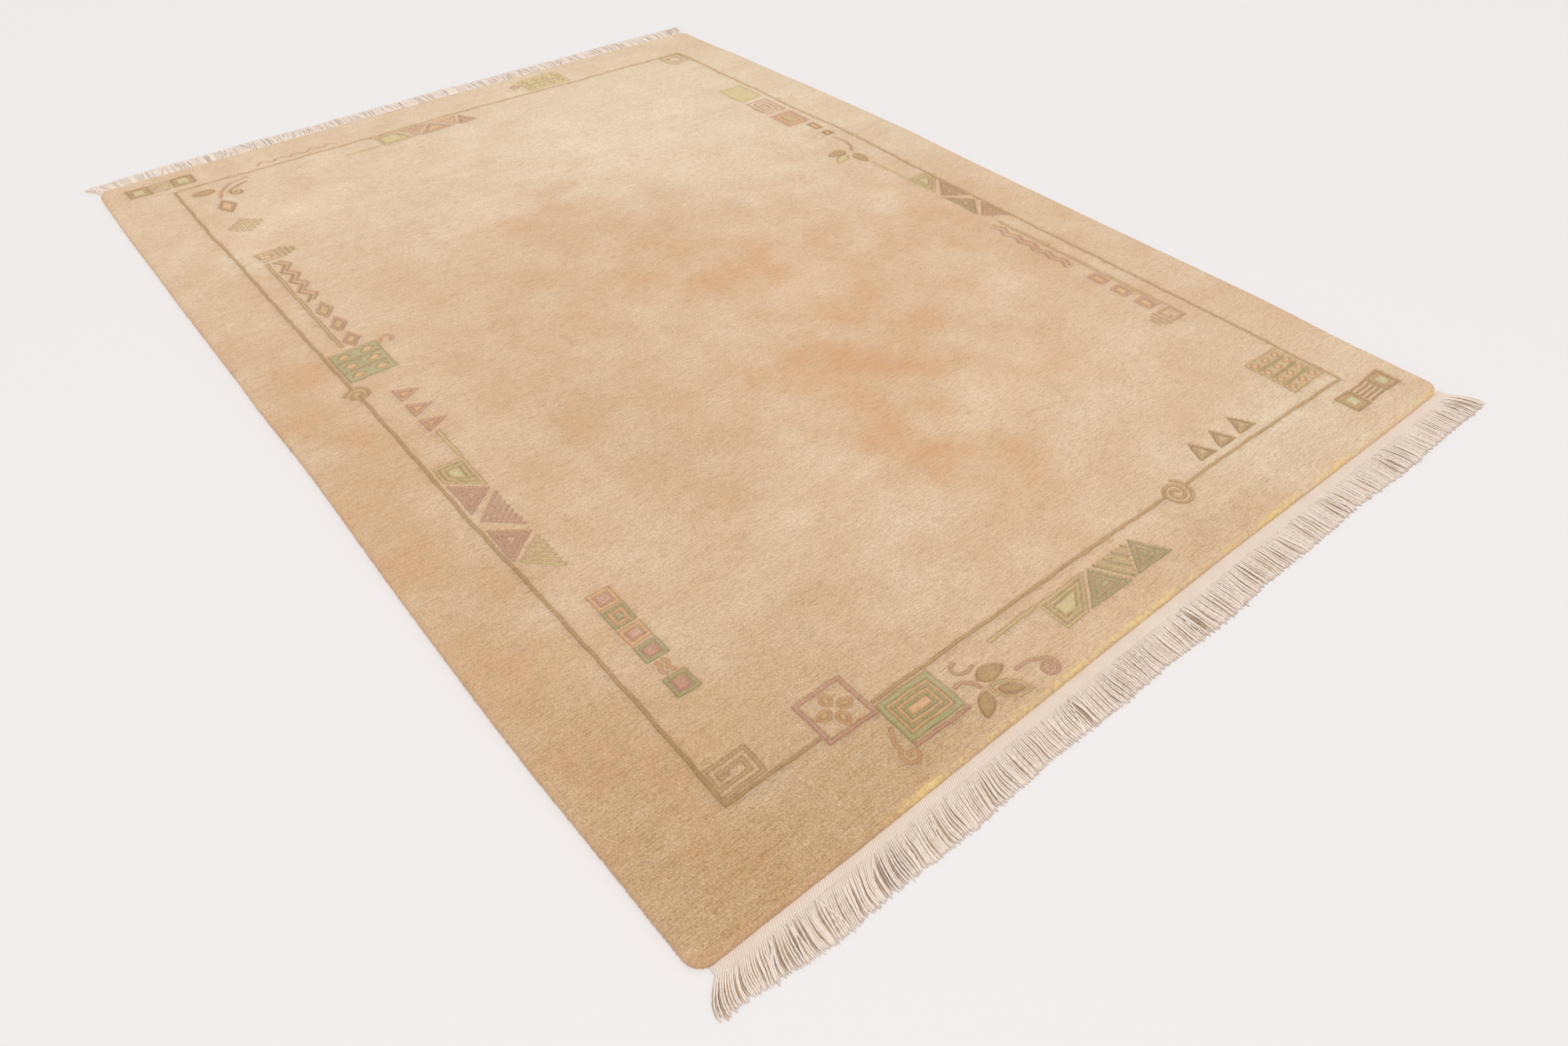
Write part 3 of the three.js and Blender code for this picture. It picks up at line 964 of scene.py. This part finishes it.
def strand_paths(end, root, upper, t, rng):
    """The strands' middle lines from root to tip, and their lengths."""
    count = len(root)
    lock = (np.arange(count) + rng.integers(-2, 3, count)) // LOCK_SIZE
    lock = np.maximum.accumulate(lock - lock.min())
    middle = (np.bincount(lock, root) / np.maximum(np.bincount(lock), 1))[lock]
    pull = rng.uniform(0.0, end["gather"], lock.max() + 1)[lock] * np.where(upper, 1.0, LOWER_GATHER)
    stray = upper * (rng.random(count) < STRAY_SHARE)
    lean = waved(np.interp(root, *np.array(end["leans"], float).T), LEAN_WAVES, root)
    lean += ((middle - root) * pull + upper * rng.normal(0.0, LEAN_UNEVEN, count)
             + stray * rng.normal(0.0, STRAY_LEAN, count))
    length = STRAND_LENGTH + rng.normal(0.0, LENGTH_UNEVEN, count)
    length += LENGTH_DRIFT * waved(0.0, LENGTH_WAVES, root)
    length -= end["left_short"] * smoothstep(end["left"] + LEFT_SHORT_REACH, end["left"], root)
    sway = 1.3 * np.sin(root[:, None] / 17.0 + 5.0 * t) + 0.7 * np.sin(root[:, None] / 7.0 + 8.0 * t)
    x = root[:, None] + lean[:, None] * (1 - (1 - t) ** 1.8) + sway * t
    outer = end_line(end, root) + end["side"] * (HEADING_WIDTH - ROOT_LAP)
    y = outer[:, None] + end["side"] * (length[:, None] + ROOT_LAP - 2.0) * t
    lift = rng.uniform(0.0, end["lift"], count) + stray * STRAY_LIFT
    z = STRAND_RADIUS + UPPER_LAYER * upper[:, None] * smoothstep(0.0, 0.2, t) * (1 - 0.5 * t)
    z = z + lift[:, None] * np.sin(np.pi * t**0.8) ** 0.7
    return np.stack([x, y, z], -1), length


def strands(end, material):
    """Plied cotton strands in two layers on the floor, the upper ones gathered in loose locks."""
    rng = np.random.default_rng(end["seed"])
    root = np.arange(end["left"] + 1, end["right"] - 1, STRAND_PITCH)
    count = len(root)
    upper = np.arange(count) % 2
    t = np.linspace(0.0, 1.0, STRAND_RINGS)
    path, length = strand_paths(end, root, upper, t, rng)
    ahead = unit(np.gradient(path, axis=1))
    sideways = unit(np.cross(ahead, np.array([0.0, 0.0, 1.0])))
    upward = np.cross(sideways, ahead)
    angle = 2 * np.pi * np.arange(STRAND_SIDES) / STRAND_SIDES
    twist = 2 * np.pi * (length[:, None] * t / PLY_PITCH + rng.random(count)[:, None])
    radius = STRAND_RADIUS * (1 + PLY_DEPTH * np.cos(2 * angle - twist[..., None]))
    radius *= (1 + LOWER_FULLER * (1 - upper))[:, None, None]
    radius *= np.interp(t, *STRAND_TAPER)[:, None]
    points = (path[:, :, None] + sideways[:, :, None] * (radius * np.cos(angle))[..., None]
              + upward[:, :, None] * (radius * np.sin(angle))[..., None])
    points[..., 2] = np.maximum(points[..., 2], STRAND_LOWEST)
    index = np.arange(count * STRAND_RINGS * STRAND_SIDES).reshape(count, STRAND_RINGS, STRAND_SIDES)
    turned = np.roll(index, -1, 2)
    faces = np.stack([index[:, :-1], turned[:, :-1], turned[:, 1:], index[:, 1:]], -1).reshape(-1, 4).tolist()
    faces += index[:, -1].tolist() + index[:, 0, ::-1].tolist()
    piece = mesh_piece("strands_" + end["name"], points.reshape(-1, 3), faces, [material])
    # Painted shade on the lower strands, in the gaps between the upper ones.
    painted_shade = end["painted_gap_shade"] * (1 - upper)[:, None] * np.interp(t, *GAPS)
    add_values(piece, "painted_shade", np.repeat(painted_shade, STRAND_SIDES))
    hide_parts("fringe_" + end["name"])
    return piece


# Materials.
def linear(color):
    """An sRGB hex colour as linear red, green, blue and alpha."""
    parts = [int(color[place:place + 2], 16) / 255 for place in (1, 3, 5)]
    return [part / 12.92 if part <= 0.04045 else ((part + 0.055) / 1.055) ** 2.4 for part in parts] + [1.0]


def add_node(tree, kind, inputs=None, **settings):
    """Adds a node with its settings, and fills its sockets with values or links."""
    made = tree.nodes.new(kind)
    for name, value in settings.items():
        setattr(made, name, value)
    for name, value in (inputs or {}).items():
        if isinstance(value, bpy.types.NodeSocket):
            tree.links.new(value, made.inputs[name])
        else:
            made.inputs[name].default_value = value
    return made


def new_material(name):
    """An empty node material and its tree."""
    material = bpy.data.materials.new(name)
    material.use_nodes = True
    material.node_tree.nodes.clear()
    return material, material.node_tree


def carried(tree, name):
    """The number that a piece carries at each point."""
    return add_node(tree, "ShaderNodeAttribute", attribute_name=name).outputs["Fac"]


def calculated(tree, operation, *values, **settings):
    """The outcome of one operation on sockets and numbers."""
    inputs = dict(enumerate(values))
    return add_node(tree, "ShaderNodeMath", inputs, operation=operation, **settings).outputs[0]


def mixed(tree, factor, first, second, **settings):
    """Two colours mixed by a factor."""
    inputs = {"Factor": factor, 6: first, 7: second}
    return add_node(tree, "ShaderNodeMix", inputs, data_type="RGBA", **settings).outputs[2]


def noise(tree, at, size, detail):
    """A soft noise of one size in millimetres."""
    inputs = {"Vector": at, "Scale": 1 / (size * MM), "Detail": detail}
    return add_node(tree, "ShaderNodeTexNoise", inputs).outputs["Fac"]


def drawn_out(tree, at, size):
    """A soft noise drawn out along the rows, by its width and height in millimetres."""
    wide, tall = size
    scale = (1 / (wide * MM), 1 / (tall * MM), 1.0)
    stretched = add_node(tree, "ShaderNodeMapping", {"Vector": at, "Scale": scale}).outputs[0]
    inputs = {"Vector": stretched, "Scale": 1.0, "Detail": 3.0}
    return add_node(tree, "ShaderNodeTexNoise", inputs).outputs["Fac"]


def sharpened(tree, source, start):
    """A noise made into marks that begin at one of its values."""
    return calculated(tree, "MULTIPLY_ADD", source, DRAWN_SHARPNESS, -DRAWN_SHARPNESS * start, use_clamp=True)


def relieved(tree, height, strength, depth):
    """A surface direction bumped by a height, its depth in millimetres."""
    inputs = {"Height": height, "Strength": strength, "Distance": depth * MM}
    return add_node(tree, "ShaderNodeBump", inputs).outputs[0]


def surfaced(tree, inputs):
    """Gives a material its surface."""
    surface = add_node(tree, "ShaderNodeBsdfPrincipled", inputs)
    add_node(tree, "ShaderNodeOutputMaterial", {"Surface": surface.outputs[0]})


def wool(name, pale, deep, rosy=None, edge=None):
    """Hand-spun, pot-dyed wool in cut pile: rows of yarn ends, matt with a soft sheen, the dye uneven, with
    painted shade between yarn ends, in the rows' partings and in the carved grooves.
    """
    material, tree = new_material(name)
    at = add_node(tree, "ShaderNodeTexCoord").outputs["Object"]
    cells = {"Vector": at, "Scale": 1 / (TUFT * MM), "Randomness": 1.0}
    tufts = add_node(tree, "ShaderNodeTexVoronoi", cells).outputs["Distance"]
    grain = noise(tree, at, GRAIN, 2.0)
    clumps = noise(tree, at, CLUMP, 3.0)
    drift = noise(tree, at, DRIFT, 5.0)
    partings = sharpened(tree, drawn_out(tree, at, PARTING), PARTING_FROM)
    dashes = sharpened(tree, drawn_out(tree, at, DASH), DASH_FROM)
    streaks = drawn_out(tree, at, STREAK)
    depth = carried(tree, "dye_depth_and_painted_light")
    # Tufts, partings and dashes add painted shade where the relief is low; grain, clumps, streaks and drift
    # are the dye's uneven tone.
    for source, (middle, amount) in ((tufts, TUFT_PAINTED_SHADE), (grain, GRAIN_DEPTH), (partings, PARTING_PAINTED_SHADE),
                                     (dashes, DASH_PAINTED_SHADE), (clumps, CLUMP_DEPTH), (streaks, STREAK_DEPTH),
                                     (drift, DRIFT_DEPTH)):
        centred = calculated(tree, "SUBTRACT", source, middle)
        depth = calculated(tree, "MULTIPLY_ADD", centred, amount, depth)
    color = mixed(tree, depth, linear(pale), linear(deep), clamp_factor=False)
    if rosy:
        patchy = calculated(tree, "MULTIPLY", drift, carried(tree, "rosiness"))
        patchy = calculated(tree, "MULTIPLY", patchy, ROSY_GAIN)
        color = mixed(tree, patchy, color, linear(rosy))
    if edge:
        ragged = calculated(tree, "MULTIPLY_ADD", clumps, YELLOW_CLUMPS, YELLOW_LEVEL)
        ragged = calculated(tree, "MULTIPLY_ADD", drift, YELLOW_DRIFT, ragged, use_clamp=True)
        ragged = calculated(tree, "MULTIPLY", ragged, carried(tree, "edge_dye"))
        color = mixed(tree, ragged, color, linear(edge))
    # Painted shade in the carved grooves: the colour is multiplied towards a brown near each groove.
    color = mixed(tree, carried(tree, "groove_and_painted_shade"), color, linear(GROOVE_SHADE_COLOR), blend_type="MULTIPLY")
    relief = grain
    for source, amount in ((tufts, TUFT_RELIEF), (partings, PARTING_RELIEF), (dashes, DASH_RELIEF)):
        relief = calculated(tree, "MULTIPLY_ADD", source, amount, relief)
    normal = relieved(tree, relief, 1.0, WOOL_RELIEF)
    surfaced(tree, {"Base Color": color, "Roughness": 0.9, "Normal": normal, "Sheen Weight": 0.2,
                    "Sheen Roughness": 0.5, "Sheen Tint": linear(WOOL_SHEEN), "Specular IOR Level": 0.15})
    return material


def cotton(name, pale, deep, painted_shade_color):
    """Undyed plied cotton: off-white, a little greyed by handling, fine fibres along each strand, and painted
    shade mixed in where a piece asks for it.
    """
    material, tree = new_material(name)
    at = add_node(tree, "ShaderNodeTexCoord").outputs["Object"]
    soil = noise(tree, at, SOIL_PATCH, 5.0)
    fibre = noise(tree, at, FIBRE, 2.0)
    share = calculated(tree, "MULTIPLY", soil, fibre)
    share = calculated(tree, "MULTIPLY", share, 2.0)
    color = mixed(tree, share, linear(pale), linear(deep))
    # Painted shade in the gaps between strands and between the heading's ribs.
    color = mixed(tree, carried(tree, "painted_shade"), color, linear(painted_shade_color))
    normal = relieved(tree, fibre, 0.5, COTTON_RELIEF)
    surfaced(tree, {"Base Color": color, "Roughness": 0.85, "Normal": normal, "Sheen Weight": 0.15,
                    "Specular IOR Level": 0.3})
    return material


def painted_floor():
    """A plain pale floor with a satin face."""
    material, tree = new_material("pale_floor")
    surfaced(tree, {"Base Color": linear(FLOOR_COLOR), "Roughness": 0.45, "Specular IOR Level": 0.3})
    return material


# Studio: floor, light and camera.
def floor():
    """The floor that the rug lies on."""
    mesh = bpy.data.meshes.new("floor")
    corners = [(x * FLOOR_REACH, y * FLOOR_REACH, 0) for x, y in ((-1, -1), (1, -1), (1, 1), (-1, 1))]
    mesh.from_pydata(corners, [], [(0, 1, 2, 3)])
    mesh.materials.append(painted_floor())
    made = placed("floor", mesh)


def studio_light():
    """Soft light from all round, and one wide lamp high above the near left corner."""
    world = bpy.data.worlds.new("soft_studio")
    bpy.context.scene.world = world
    world.use_nodes = True
    sky = world.node_tree.nodes["Background"]
    sky.inputs["Color"].default_value = linear(SKY_COLOR)
    sky.inputs["Strength"].default_value = SKY_STRENGTH
    lamp = bpy.data.lights.new("wide_lamp", "SUN")
    lamp.energy = LAMP_STRENGTH
    lamp.angle = math.radians(LAMP_SPREAD)
    lamp.color = linear(LAMP_COLOR)[:3]
    holder = placed("wide_lamp", lamp)
    holder.rotation_euler = Vector(LAMP_AIM).to_track_quat("-Z", "Y").to_euler()
    bpy.context.scene.view_settings.view_transform = "Standard"


def camera():
    """A level camera at standing height beyond the near left corner."""
    made = bpy.data.cameras.new("camera")
    made.sensor_fit = "HORIZONTAL"
    made.sensor_width = SENSOR
    made.lens = CAMERA_LENS
    made.clip_start = 0.05
    holder = placed("camera", made)
    holder.location = to_scene([CAMERA_AT])[0]
    holder.rotation_euler = Vector(CAMERA_AIM).to_track_quat("-Z", "Y").to_euler()
    bpy.context.scene.camera = holder


def rug():
    """All the rug's pieces."""
    ground = wool("undyed_ground_wool", GROUND["pale"], GROUND["deep"], GROUND["rosy"], GROUND["edge"])
    dyed = [wool(dye + "_wool", pale, deep) for dye, (pale, deep) in DYES.items()]
    woven = cotton("woven_cotton", *WOVEN_COTTON)
    plied = cotton("plied_cotton", *PLIED_COTTON)
    outline = pile_outline()
    pile = knotted_pile(outline, [ground] + dyed)
    trimmings = [edge_tufts(outline, ground)]
    for end in (NEAR_END, FAR_END):
        trimmings += [heading(end, woven), strands(end, plied)]


floor()
studio_light()
camera()
rug()
